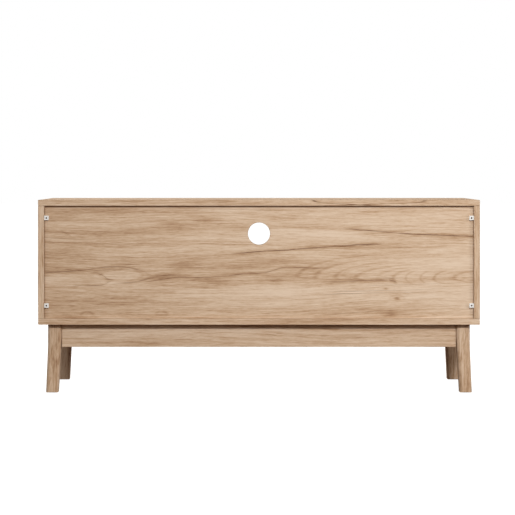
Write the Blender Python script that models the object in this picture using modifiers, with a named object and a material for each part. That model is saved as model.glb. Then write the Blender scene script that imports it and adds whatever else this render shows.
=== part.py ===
"""Media cabinet: an oak-laminate carcass on four splayed legs, with two doors, an open niche and a drawer.

Metres, +Z up. The origin is on the floor at the centre of the footprint. The front faces -Y, so left (-X) and
right (+X) are as seen by someone standing in front of the cabinet.
"""

import math

import bmesh
import bpy
from mathutils import Matrix, Vector

# --- Driving dimensions -----------------------------------------------------------------------------------
WIDTH = 1.200
DEPTH = 0.400              # top panel, back edge to front edge
HEIGHT = 0.525
BOARD = 0.016              # carcass boards, doors and drawer front
LEG_HEIGHT = 0.186
GAP = 0.0003               # between pieces that touch
EDGE_EASING = 0.0007       # rounding of a board's long edges

BACK_THICKNESS = 0.003
BACK_RECESS = 0.008        # back panel's rear face, in from the carcass's rear edge
GROOVE_DEPTH = 0.006
CABLE_HOLE_RADIUS = 0.030
CABLE_HOLE_DROP = 0.0915   # centre, below the top of the cabinet

CLIP_SIZE = 0.0124
CLIP_THICKNESS = 0.0065
CLIP_HOLE_RADIUS = 0.0024
CLIP_DROPS = (0.049, 0.287)  # clip centres, below the top of the cabinet

NICHE_HEIGHT = 0.148
SHELF_FRONT_INSET = 0.020
SHELF_SIDE_GAP = 0.001
PIN_RADIUS = 0.0025
PIN_LENGTH = 0.016
PIN_INSET = 0.040          # from the shelf's front and back edges
PIN_PITCH = 0.032          # between the heights that a shelf can take

DOOR_GAP = 0.0028          # between a door's back face and the carcass
FRONT_GAP = 0.0025         # around a door or the drawer front
DOOR_EDGE_INSET = 0.0005   # door's hinge-side edge, in from the cabinet's side
HINGE_DROP = 0.052         # hinge centre, from the door's top or bottom edge

CUP_RADIUS = 0.0175
CUP_WALL = 0.0008
CUP_DEPTH = 0.0115
CUP_EDGE = 0.003           # cup's rim to the door's hinge-side edge
CUP_SEGMENTS = 32
CUP_FLANGE = (0.022, 0.001, 0.060)
PIVOT_INSET = 0.0065       # hinge pin, in from the door's hinge-side edge
PIVOT_DEPTH = 0.0085       # hinge pin, in from the door's back face
HINGE_PIN_RADIUS = 0.0009
KNUCKLE_BORE = 0.0012
KNUCKLE_RADIUS = 0.0018
KNUCKLE_HEIGHT = 0.009
ARM_THICKNESS = 0.0016
ARM_REACH = 0.0136         # pin to the arm's outer face, across the cabinet
ARM_LENGTH = 0.062         # pin to the arm's rear end
PLATE_START = 0.031        # pin to the mounting plate's front edge
PLATE_END = 0.066
PLATE_HEIGHT = 0.048

KNOB_PROJECTION = 0.022
KNOB_RADIUS = 0.014
KNOB_NECK_RADIUS = 0.0062
KNOB_FOOT_RADIUS = 0.0085
KNOB_FOOT_HEIGHT = 0.0015
KNOB_HEAD_HALF = 0.0052    # half the head's thickness
KNOB_INSET = 0.042         # knob centre to the door's free edge

DRAWER_BOARD = 0.012
DRAWER_LENGTH = 0.300
DRAWER_HEIGHT = 0.100
DRAWER_LIFT = 0.016        # drawer box above the bottom panel
DRAWER_BOTTOM_LIFT = 0.010
SLIDE_SPACE = 0.0127       # drawer side to divider
SLIDE_METAL = 0.0012
SLIDE_START = 0.002        # behind the carcass's front edge
# Each member of a slide: its web and its lips, out from the divider's face, and half its height.
SLIDE_MEMBERS = {
    "outer": (GAP, 0.0098, 0.0225),
    "middle": (0.0021, 0.0102, 0.0175),
    "inner": (SLIDE_SPACE - GAP, 0.0046, 0.0120),
}

LEG_OUTER_TOP = 0.0236     # a leg's outer face, in from the edge of the cabinet
LEG_OUTER_FOOT = 0.0188
LEG_OUTER_BREAK = 0.127    # height where the outer face stops being vertical
LEG_INNER_TOP = 0.0615
LEG_INNER_FOOT = 0.0530
LEG_INNER_BREAK = 0.156
LEG_CORNER_RADIUS = 0.011
FOOT_EASING = 0.2          # share of the corner radius

APRON_BOTTOM = 0.123
APRON_THICKNESS = 0.018
APRON_SETBACK = 0.008      # behind the legs' outer faces
BLOCK_NEAR = 0.082         # corner block, where its two long faces meet the aprons
BLOCK_FAR = 0.112
BLOCK_HEIGHT = 0.040

# --- Derived planes ---------------------------------------------------------------------------------------
HALF = WIDTH / 2
INNER_X = HALF - BOARD
BAY_WIDTH = (2 * INNER_X - 2 * BOARD) / 3
DIVIDER_X = (BAY_WIDTH + BOARD) / 2

BACK_Y = (DEPTH + KNOB_PROJECTION) / 2
FRONT_Y = BACK_Y - DEPTH
DOOR_BACK_Y = FRONT_Y + BOARD
CARCASS_FRONT_Y = DOOR_BACK_Y + DOOR_GAP
PANEL_REAR_Y = BACK_Y - BACK_RECESS
PANEL_FRONT_Y = PANEL_REAR_Y - BACK_THICKNESS

FLOOR_Z = LEG_HEIGHT + BOARD
CEILING_Z = HEIGHT - BOARD
NICHE_FLOOR_Z = CEILING_Z - NICHE_HEIGHT
CABLE_HOLE_Z = HEIGHT - CABLE_HOLE_DROP
SHELF_TOP_Z = (FLOOR_Z + CEILING_Z + BOARD) / 2
DRAWER_Z = FLOOR_Z + DRAWER_LIFT

SIDES = {"left": -1, "right": 1}
ENDS = {"front": -1, "back": 1}

# --- Finishes: colour, roughness, metallic ----------------------------------------------------------------
FINISHES = {
    "oak_laminate": ((0.48, 0.31, 0.19, 1.0), 0.45, 0.0),
    "turned_oak": ((0.44, 0.28, 0.17, 1.0), 0.42, 0.0),
    "white_plastic": ((0.80, 0.80, 0.78, 1.0), 0.40, 0.0),
    "drawer_board": ((0.74, 0.71, 0.66, 1.0), 0.55, 0.0),
    "beech_block": ((0.60, 0.44, 0.28, 1.0), 0.60, 0.0),
    "nickel": ((0.62, 0.60, 0.57, 1.0), 0.30, 1.0),
    "zinc": ((0.58, 0.60, 0.62, 1.0), 0.38, 1.0),
}


# --- Helpers ----------------------------------------------------------------------------------------------
def clear_scene():
    for obj in list(bpy.data.objects):
        bpy.data.objects.remove(obj, do_unlink=True)


def new_collection(name):
    collection = bpy.data.collections.new(name)
    bpy.context.scene.collection.children.link(collection)
    return collection


def add_finish(obj, finish):
    colour, roughness, metallic = FINISHES[finish]
    material = bpy.data.materials.new(f"{obj.name}_{finish}")
    material.use_nodes = True
    shader = material.node_tree.nodes["Principled BSDF"]
    shader.inputs["Base Color"].default_value = colour
    shader.inputs["Roughness"].default_value = roughness
    shader.inputs["Metallic"].default_value = metallic
    material.diffuse_color = colour
    obj.data.materials.append(material)


def place(obj, centre, parent=None):
    """Puts obj at a world position, whether or not it hangs on a joint's empty."""
    obj.parent = parent
    obj.location = Vector(centre) - (parent.location if parent else Vector())


def box_mesh(name, size):
    bm = bmesh.new()
    bmesh.ops.create_cube(bm, size=1.0)
    bmesh.ops.scale(bm, vec=size, verts=bm.verts)
    mesh = bpy.data.meshes.new(name)
    bm.to_mesh(mesh)
    bm.free()
    return mesh


def rod_mesh(name, radius, length, axis, centres, segments):
    """Plain cylinders along one axis, one at each centre."""
    turn = Vector((0, 0, 1)).rotation_difference(Vector(axis)).to_matrix().to_4x4()
    bm = bmesh.new()
    for centre in centres:
        bmesh.ops.create_cone(bm, cap_ends=True, segments=segments, radius1=radius, radius2=radius,
                              depth=length, matrix=Matrix.Translation(centre) @ turn)
    mesh = bpy.data.meshes.new(name)
    bm.to_mesh(mesh)
    bm.free()
    return mesh


def smooth(mesh):
    mesh.shade_smooth()
    mesh.set_sharp_from_angle(angle=math.radians(35))


def add_part(name, mesh, centre, finish, parent=None):
    obj = bpy.data.objects.new(name, mesh)
    parts.objects.link(obj)
    place(obj, centre, parent)
    add_finish(obj, finish)
    return obj


def ease_edges(obj, width, segments=2):
    bevel = obj.modifiers.new("eased_edges", "BEVEL")
    bevel.width = width
    bevel.segments = segments
    bevel.limit_method = "ANGLE"


def board(name, low, high, finish="oak_laminate", parent=None, easing=EDGE_EASING):
    """A flat board between two opposite corners, with eased edges."""
    low, high = Vector(low), Vector(high)
    obj = add_part(name, box_mesh(name, high - low), (low + high) / 2, finish, parent)
    if easing:
        ease_edges(obj, easing)
    return obj


def add_helper(name, mesh, centre=(0, 0, 0)):
    """A shape that only cuts or joins another one."""
    obj = bpy.data.objects.new(name, mesh)
    cutters.objects.link(obj)
    obj.location = centre
    obj.hide_render = True
    obj.display_type = "WIRE"
    return obj


def combine(obj, helper, operation):
    boolean = obj.modifiers.new(helper.name, "BOOLEAN")
    boolean.operation = operation
    boolean.solver = "EXACT"
    boolean.object = helper


def box_helper(name, low, high):
    low, high = Vector(low), Vector(high)
    return add_helper(name, box_mesh(name, high - low), (low + high) / 2)


def joint_axis(name, position):
    empty = bpy.data.objects.new(name, None)
    empty.location = position
    empty.empty_display_size = 0.03
    parts.objects.link(empty)
    return empty


def outline_curve(name, splines, thickness):
    """A flat plate in local XY, its thickness along local Z. Each further spline is a hole."""
    curve = bpy.data.curves.new(name, "CURVE")
    curve.dimensions = "2D"
    curve.fill_mode = "BOTH"
    curve.extrude = thickness / 2
    for points in splines:
        spline = curve.splines.new("POLY")
        spline.points.add(len(points) - 1)
        for point, (x, y) in zip(spline.points, points):
            point.co = (x, y, 0, 1)
        spline.use_cyclic_u = True
    return curve


def curve_as_mesh(name, curve):
    """The plate as one closed mesh, for pieces that are cut, joined or bevelled."""
    holder = bpy.data.objects.new(name, curve)
    parts.objects.link(holder)
    graph = bpy.context.evaluated_depsgraph_get()
    mesh = bpy.data.meshes.new_from_object(holder.evaluated_get(graph))
    bpy.data.objects.remove(holder, do_unlink=True)
    bm = bmesh.new()
    bm.from_mesh(mesh)
    bmesh.ops.remove_doubles(bm, verts=bm.verts, dist=0.00001)
    bmesh.ops.recalc_face_normals(bm, faces=bm.faces)
    bm.to_mesh(mesh)
    bm.free()
    return mesh


def arc(radius, start, end, steps, centre=(0.0, 0.0)):
    """Points on an arc, angles in degrees."""
    angles = [math.radians(start + (end - start) * i / steps) for i in range(steps + 1)]
    return [(centre[0] + radius * math.cos(a), centre[1] + radius * math.sin(a)) for a in angles]


# --- Carcass ----------------------------------------------------------------------------------------------
def build_carcass():
    low_edge, high_edge = FLOOR_Z + GAP, CEILING_Z - GAP
    top = board("top_panel", (-HALF, FRONT_Y, CEILING_Z), (HALF, BACK_Y, HEIGHT))
    bottom = board("bottom_panel", (-HALF, FRONT_Y, LEG_HEIGHT), (HALF, BACK_Y, FLOOR_Z))
    grooved = [top, bottom]
    for side, sign in SIDES.items():
        x_range = sorted((sign * HALF, sign * INNER_X))
        panel = board(f"side_panel_{side}", (x_range[0], CARCASS_FRONT_Y, low_edge),
                      (x_range[1], BACK_Y, high_edge))
        grooved.append(panel)
        centre_x = sign * DIVIDER_X
        divider = board(f"divider_{side}", (centre_x - BOARD / 2, CARCASS_FRONT_Y, low_edge),
                        (centre_x + BOARD / 2, PANEL_FRONT_Y - GAP, high_edge))
        build_adjustable_shelf(side, sign, panel, divider)

    bay_edge = BAY_WIDTH / 2 - GAP
    board("niche_shelf", (-bay_edge, CARCASS_FRONT_Y, NICHE_FLOOR_Z - BOARD),
          (bay_edge, PANEL_FRONT_Y - GAP, NICHE_FLOOR_Z))

    reach = GROOVE_DEPTH - GAP
    low = Vector((-INNER_X - reach, PANEL_FRONT_Y, FLOOR_Z - reach))
    high = Vector((INNER_X + reach, PANEL_REAR_Y, CEILING_Z + reach))
    back = board("back_panel", low, high, easing=None)
    hole = add_helper("cable_hole_cutter",
                      rod_mesh("cable_hole_cutter", CABLE_HOLE_RADIUS, 4 * BOARD, (0, 1, 0), [(0, 0, 0)], 64),
                      (0, PANEL_REAR_Y, CABLE_HOLE_Z))
    combine(back, hole, "DIFFERENCE")

    margin = Vector((GAP, GAP, GAP))
    groove = box_helper("back_groove_cutter", low - margin, high + margin)
    for panel in grooved:
        combine(panel, groove, "DIFFERENCE")


def build_adjustable_shelf(side, sign, panel, divider):
    """One shelf on four pins, and the rows of holes that the pins can go in."""
    bay = sorted((sign * INNER_X, sign * (DIVIDER_X + BOARD / 2)))
    front_y = CARCASS_FRONT_Y + SHELF_FRONT_INSET
    back_y = PANEL_FRONT_Y - SHELF_SIDE_GAP
    underside = SHELF_TOP_Z - BOARD
    board(f"shelf_{side}", (bay[0] + SHELF_SIDE_GAP, front_y, underside),
          (bay[1] - SHELF_SIDE_GAP, back_y, SHELF_TOP_Z))

    pin_z = underside - PIN_RADIUS - GAP
    pin_rows = {"front": front_y + PIN_INSET, "back": back_y - PIN_INSET}
    walls = {"outer": (panel, sign * INNER_X), "inner": (divider, sign * (DIVIDER_X + BOARD / 2))}
    for wall_name, (wall, wall_x) in walls.items():
        for row_name, row_y in pin_rows.items():
            name = f"shelf_pin_{side}_{wall_name}_{row_name}"
            pin = rod_mesh(name, PIN_RADIUS, PIN_LENGTH, (1, 0, 0), [(0, 0, 0)], 12)
            smooth(pin)
            add_part(name, pin, (wall_x, row_y, pin_z), "zinc")
        name = f"pin_holes_{side}_{wall_name}"
        centres = [(0, row_y, pin_z + step * PIN_PITCH) for row_y in pin_rows.values() for step in (-1, 0, 1)]
        holes = rod_mesh(name, PIN_RADIUS + GAP, PIN_LENGTH + 4 * GAP, (1, 0, 0), centres, 12)
        combine(wall, add_helper(name, holes, (wall_x, 0, 0)), "DIFFERENCE")


def build_back_clips():
    """White clips that hold the back panel in its grooves, one in each corner of the recess."""
    low_y = PANEL_REAR_Y + GAP
    for side, sign in SIDES.items():
        for level, drop in zip(("upper", "lower"), CLIP_DROPS):
            name = f"back_clip_{side}_{level}"
            outer_x = sign * (INNER_X - GAP)
            x_range = sorted((outer_x, outer_x - sign * CLIP_SIZE))
            centre_z = HEIGHT - drop
            clip = board(name, (x_range[0], low_y, centre_z - CLIP_SIZE / 2),
                         (x_range[1], low_y + CLIP_THICKNESS, centre_z + CLIP_SIZE / 2),
                         "white_plastic", easing=0.001)
            hole = rod_mesh(f"{name}_hole", CLIP_HOLE_RADIUS, 4 * CLIP_THICKNESS, (0, 1, 0), [(0, 0, 0)], 20)
            centre = (sum(x_range) / 2, low_y, centre_z)
            combine(clip, add_helper(f"{name}_hole", hole, centre), "DIFFERENCE")


# --- Base -------------------------------------------------------------------------------------------------
def leg_inset(outer, height):
    """How far a leg's outer or inner face stands in from the cabinet's edge, at a height above the floor."""
    foot, top, level = ((LEG_OUTER_FOOT, LEG_OUTER_TOP, LEG_OUTER_BREAK) if outer
                        else (LEG_INNER_FOOT, LEG_INNER_TOP, LEG_INNER_BREAK))
    return foot + (top - foot) * min(height / level, 1.0)


def leg_mesh(name, x_sign, y_sign, top_z):
    """A square block at the top that tapers and leans outward to the foot, with rounded corners."""
    bm = bmesh.new()
    bmesh.ops.create_cube(bm, size=1.0)
    bmesh.ops.translate(bm, vec=(0, 0, 0.5), verts=bm.verts)
    bmesh.ops.scale(bm, vec=(1, 1, top_z), verts=bm.verts)
    for level in (LEG_OUTER_BREAK, LEG_INNER_BREAK):
        bmesh.ops.bisect_plane(bm, geom=bm.verts[:] + bm.edges[:] + bm.faces[:], dist=0.00001,
                               plane_co=(0, 0, level), plane_no=(0, 0, 1))
    weights = bm.edges.layers.float.new("bevel_weight_edge")
    for edge in bm.edges:
        first, second = (vert.co.z for vert in edge.verts)
        if abs(first - second) > GAP:
            edge[weights] = 1.0
        elif first < GAP:
            edge[weights] = FOOT_EASING
    for vert in bm.verts:
        x_inset = leg_inset(vert.co.x * x_sign > 0, vert.co.z)
        y_inset = leg_inset(vert.co.y * y_sign > 0, vert.co.z)
        edge_y = BACK_Y if y_sign > 0 else FRONT_Y
        vert.co.x = x_sign * (HALF - x_inset)
        vert.co.y = edge_y - y_sign * y_inset
    mesh = bpy.data.meshes.new(name)
    bm.to_mesh(mesh)
    bm.free()
    return mesh


def build_base():
    top_z = LEG_HEIGHT - GAP
    apron_outer = LEG_OUTER_TOP + APRON_SETBACK
    apron_inner = apron_outer + APRON_THICKNESS
    leg_inner = LEG_INNER_TOP + GAP
    for end, y_sign in ENDS.items():
        edge_y = BACK_Y if y_sign > 0 else FRONT_Y
        y_range = sorted((edge_y - y_sign * apron_outer, edge_y - y_sign * apron_inner))
        board(f"apron_{end}", (leg_inner - HALF, y_range[0], APRON_BOTTOM),
              (HALF - leg_inner, y_range[1], top_z))
        for side, x_sign in SIDES.items():
            name = f"leg_{end}_{side}"
            mesh = leg_mesh(name, x_sign, y_sign, top_z)
            mesh.shade_smooth()
            leg = add_part(name, mesh, (0, 0, 0), "oak_laminate")
            rounding = leg.modifiers.new("rounded_corners", "BEVEL")
            rounding.limit_method = "WEIGHT"
            rounding.width = LEG_CORNER_RADIUS
            rounding.segments = 5
            rounding.harden_normals = True
            build_corner_block(f"corner_block_{end}_{side}", x_sign, y_sign, edge_y, apron_inner + GAP, top_z)
    for side, x_sign in SIDES.items():
        x_range = sorted((x_sign * (HALF - apron_outer), x_sign * (HALF - apron_inner)))
        board(f"apron_{side}", (x_range[0], FRONT_Y + leg_inner, APRON_BOTTOM),
              (x_range[1], BACK_Y - leg_inner, top_z))


def build_corner_block(name, x_sign, y_sign, edge_y, wall, top_z):
    """A brace across the corner between two aprons, just inside the leg."""
    insets = [(wall, BLOCK_NEAR), (BLOCK_NEAR, wall), (BLOCK_FAR, wall), (wall, BLOCK_FAR)]
    outline = [(x_sign * (HALF - u), edge_y - y_sign * v) for u, v in insets]
    mesh = curve_as_mesh(name, outline_curve(name, [outline], BLOCK_HEIGHT))
    add_part(name, mesh, (0, 0, top_z - BLOCK_HEIGHT / 2), "beech_block")


# --- Doors ------------------------------------------------------------------------------------------------
def build_knob(name, centre_x, centre_z, parent):
    """A turned knob, its axis along -Y."""
    head_z = KNOB_PROJECTION - KNOB_HEAD_HALF
    head = [(KNOB_RADIUS * x, head_z + KNOB_HEAD_HALF * z) for x, z in arc(1.0, 90, -50, 7)]
    stem = [(KNOB_NECK_RADIUS, head_z - 2 * KNOB_HEAD_HALF), (KNOB_NECK_RADIUS, 2 * KNOB_FOOT_HEIGHT),
            (KNOB_FOOT_RADIUS, KNOB_FOOT_HEIGHT), (KNOB_FOOT_RADIUS, GAP), (0.0, GAP)]
    profile = [(0.0, KNOB_PROJECTION)] + head[1:] + stem
    mesh = bpy.data.meshes.new(name)
    mesh.from_pydata([(r, 0, z) for r, z in profile], [(i, i + 1) for i in range(len(profile) - 1)], [])
    knob = add_part(name, mesh, (centre_x, FRONT_Y, centre_z), "turned_oak", parent)
    knob.rotation_euler = (math.radians(90), 0, 0)
    turning = knob.modifiers.new("turned", "SCREW")
    turning.steps = turning.render_steps = 22
    turning.use_merge_vertices = True
    turning.merge_threshold = 0.00001
    turning.use_smooth_shade = True


def build_hinge(name, sign, pivot, axis_empty):
    """A cup that turns with the door about a pin, and an arm on the side panel with an eye round the pin."""
    cup_centre_x = pivot.x - sign * (CUP_EDGE + CUP_RADIUS - PIVOT_INSET)
    cup_low_y = DOOR_BACK_Y - CUP_DEPTH
    cup_high_y = DOOR_BACK_Y + GAP + CUP_FLANGE[1]
    centre = Vector((cup_centre_x, (cup_low_y + cup_high_y) / 2, pivot.z))
    body = rod_mesh(f"hinge_cup_{name}", CUP_RADIUS, cup_high_y - cup_low_y, (0, 1, 0), [(0, 0, 0)],
                    CUP_SEGMENTS)
    smooth(body)
    cup = add_part(f"hinge_cup_{name}", body, centre, "nickel", axis_empty)
    half_width, half_height = CUP_FLANGE[0] / 2, CUP_FLANGE[2] / 2
    flange = box_helper(f"cup_flange_{name}",
                        (cup_centre_x - half_width, DOOR_BACK_Y + GAP, pivot.z - half_height),
                        (cup_centre_x + half_width, cup_high_y, pivot.z + half_height))
    combine(cup, flange, "UNION")
    hollow = rod_mesh(f"cup_hollow_{name}", CUP_RADIUS - CUP_WALL, 2 * CUP_DEPTH, (0, 1, 0), [(0, 0, 0)],
                      CUP_SEGMENTS)
    hollow_y = cup_low_y + CUP_WALL + CUP_DEPTH
    combine(cup, add_helper(f"cup_hollow_{name}", hollow, (cup_centre_x, hollow_y, pivot.z)), "DIFFERENCE")
    chord = 2 * (CUP_RADIUS - CUP_WALL / 2)
    offset = abs(cup_centre_x - pivot.x)
    pin_length = math.sqrt(chord ** 2 - (2 * offset) ** 2)
    pin = rod_mesh(f"hinge_pin_{name}", HINGE_PIN_RADIUS, pin_length, (0, 0, 1), [(0, 0, 0)], 12)
    combine(cup, add_helper(f"hinge_pin_{name}", pin, pivot), "UNION")
    build_hinge_arm(name, sign, pivot)


def build_hinge_arm(name, sign, pivot):
    """Outline across (u, away from the side panel) and back (v) from the pin."""
    half = ARM_THICKNESS / 2
    eye_angle = math.degrees(math.asin(half / KNUCKLE_RADIUS))
    eye = arc(KNUCKLE_RADIUS, eye_angle, 360 - eye_angle, 16)
    inner_u = ARM_REACH - ARM_THICKNESS
    strip = [(ARM_REACH, -half), (ARM_REACH, ARM_LENGTH), (inner_u, ARM_LENGTH), (inner_u, half)]
    outline = [(-sign * u, v) for u, v in eye + strip]
    bore = [(-sign * u, v) for u, v in arc(KNUCKLE_BORE, 0, 360, 14)[:-1]]
    mesh = curve_as_mesh(name, outline_curve(name, [outline, bore], KNUCKLE_HEIGHT))
    arm = add_part(f"hinge_arm_{name}", mesh, pivot, "nickel")
    wall_x = sign * (INNER_X - GAP)
    arm_x = pivot.x - sign * (inner_u + half)
    x_range = sorted((wall_x, arm_x))
    plate = box_helper(f"hinge_plate_{name}",
                       (x_range[0], pivot.y + PLATE_START, pivot.z - PLATE_HEIGHT / 2),
                       (x_range[1], pivot.y + PLATE_END, pivot.z + PLATE_HEIGHT / 2))
    combine(arm, plate, "UNION")


def build_doors():
    low_z, high_z = FLOOR_Z + FRONT_GAP, CEILING_Z - FRONT_GAP
    for side, sign in SIDES.items():
        hinge_edge_x = sign * (HALF - DOOR_EDGE_INSET)
        free_edge_x = sign * (DIVIDER_X + FRONT_GAP / 2)
        pivot = Vector((hinge_edge_x - sign * PIVOT_INSET, DOOR_BACK_Y - PIVOT_DEPTH, (low_z + high_z) / 2))
        axis_empty = joint_axis(f"door_{side}_axis", pivot)
        x_range = sorted((hinge_edge_x, free_edge_x))
        door = board(f"door_{side}", (x_range[0], FRONT_Y, low_z), (x_range[1], DOOR_BACK_Y, high_z),
                     parent=axis_empty)
        hinge_levels = {"lower": low_z + HINGE_DROP, "upper": high_z - HINGE_DROP}
        cup_x = hinge_edge_x - sign * (CUP_EDGE + CUP_RADIUS)
        centres = [(cup_x, 0, level_z) for level_z in hinge_levels.values()]
        bores = rod_mesh(f"cup_bores_{side}", CUP_RADIUS + GAP, 2 * (CUP_DEPTH + GAP), (0, 1, 0), centres,
                         CUP_SEGMENTS)
        combine(door, add_helper(f"cup_bores_{side}", bores, (0, DOOR_BACK_Y, 0)), "DIFFERENCE")
        for level, level_z in hinge_levels.items():
            build_hinge(f"{side}_{level}", sign, Vector((pivot.x, pivot.y, level_z)), axis_empty)
        build_knob(f"knob_door_{side}", free_edge_x + sign * KNOB_INSET, NICHE_FLOOR_Z, axis_empty)


# --- Drawer -----------------------------------------------------------------------------------------------
def slide_member(member, side, sign, centre_z, parent):
    """One channel of a slide, along Y."""
    name = f"slide_{member}_{side}"
    web, lip, half_height = SLIDE_MEMBERS[member]
    face_x = BAY_WIDTH / 2
    t = SLIDE_METAL if lip > web else -SLIDE_METAL
    section = [(web, -half_height), (lip, -half_height), (lip, SLIDE_METAL - half_height),
               (web + t, SLIDE_METAL - half_height), (web + t, half_height - SLIDE_METAL),
               (lip, half_height - SLIDE_METAL), (lip, half_height), (web, half_height)]
    outline = [(sign * (face_x - u), z) for u, z in section]
    mesh = curve_as_mesh(name, outline_curve(name, [outline], DRAWER_LENGTH))
    centre = (0, CARCASS_FRONT_Y + SLIDE_START + DRAWER_LENGTH / 2, centre_z)
    channel = add_part(name, mesh, centre, "zinc", parent)
    channel.rotation_euler = (math.radians(90), 0, 0)


def build_drawer():
    drawer_axis = joint_axis("drawer_slide_axis", (0, DOOR_BACK_Y, DRAWER_Z + DRAWER_HEIGHT / 2))
    middle_axis = joint_axis("slide_middles_axis", (0, DOOR_BACK_Y, DRAWER_Z + DRAWER_HEIGHT / 2))
    front_edge = DIVIDER_X - FRONT_GAP / 2
    front = board("drawer_front", (-front_edge, FRONT_Y, FLOOR_Z + FRONT_GAP),
                  (front_edge, DOOR_BACK_Y, NICHE_FLOOR_Z - FRONT_GAP), parent=drawer_axis)
    outer_x = BAY_WIDTH / 2 - SLIDE_SPACE
    inner_x = outer_x - DRAWER_BOARD
    start_y = DOOR_BACK_Y + GAP
    end_y = start_y + DRAWER_LENGTH
    top_z = DRAWER_Z + DRAWER_HEIGHT
    grooved = [front]
    for side, sign in SIDES.items():
        x_range = sorted((sign * outer_x, sign * inner_x))
        grooved.append(board(f"drawer_side_{side}", (x_range[0], start_y, DRAWER_Z),
                             (x_range[1], end_y, top_z), "drawer_board", drawer_axis))
        slide_z = DRAWER_Z + DRAWER_HEIGHT / 2
        for member, axis in (("outer", None), ("middle", middle_axis), ("inner", drawer_axis)):
            slide_member(member, side, sign, slide_z, axis)
    back_x = inner_x - GAP
    grooved.append(board("drawer_back", (-back_x, end_y - DRAWER_BOARD, DRAWER_Z), (back_x, end_y, top_z),
                         "drawer_board", drawer_axis))

    reach = GROOVE_DEPTH - GAP
    floor_z = DRAWER_Z + DRAWER_BOTTOM_LIFT
    low = Vector((-inner_x - reach, DOOR_BACK_Y - reach, floor_z))
    high = Vector((inner_x + reach, end_y - DRAWER_BOARD + reach, floor_z + BACK_THICKNESS))
    board("drawer_bottom", low, high, "drawer_board", drawer_axis, easing=None)
    margin = Vector((GAP, GAP, GAP))
    groove = box_helper("drawer_groove_cutter", low - margin, high + margin)
    for piece in grooved:
        combine(piece, groove, "DIFFERENCE")
    build_knob("knob_drawer", 0.0, (FLOOR_Z + NICHE_FLOOR_Z) / 2, drawer_axis)


clear_scene()
parts = new_collection("media_cabinet")
cutters = new_collection("cutters")
build_carcass()
build_back_clips()
build_base()
build_doors()
build_drawer()
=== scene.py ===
"""Looks for the media cabinet: rustic-oak laminate, white clips, steel fittings, and a plain studio.

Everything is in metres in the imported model's frame: the front faces -Y, the back panel +Y, up is +Z.
"""

import math

import bmesh
import bpy
from mathutils import Matrix, Vector


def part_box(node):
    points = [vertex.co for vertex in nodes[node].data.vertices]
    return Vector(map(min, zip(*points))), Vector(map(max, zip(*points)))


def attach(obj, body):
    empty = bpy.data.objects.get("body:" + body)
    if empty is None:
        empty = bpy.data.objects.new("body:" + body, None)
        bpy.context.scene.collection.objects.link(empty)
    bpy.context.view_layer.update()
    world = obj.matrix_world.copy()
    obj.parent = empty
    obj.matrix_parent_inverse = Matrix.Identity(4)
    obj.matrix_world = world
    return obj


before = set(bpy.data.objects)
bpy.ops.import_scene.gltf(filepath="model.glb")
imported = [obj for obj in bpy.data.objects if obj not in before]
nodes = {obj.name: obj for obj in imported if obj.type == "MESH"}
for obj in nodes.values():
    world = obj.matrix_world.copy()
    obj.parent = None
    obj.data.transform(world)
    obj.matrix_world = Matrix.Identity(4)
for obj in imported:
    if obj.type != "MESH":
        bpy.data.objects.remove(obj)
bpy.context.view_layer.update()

# --- Camera -----------------------------------------------------------------------------------------------
CAMERA_HEIGHT = 0.602
CAMERA_DISTANCE = 5.20        # from the rear edge of the top
CAMERA_SIDE = 0.025           # a little toward +X, fitted to where the photo shows the far legs
CAMERA_SHIFT = -0.1668        # the camera is level; the picture is cropped below the horizon
CAMERA_SHIFT_SIDE = 0.0150    # brings the cabinet back to the middle
FOCAL_LENGTH = 133.9          # on a 36 mm sensor


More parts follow.
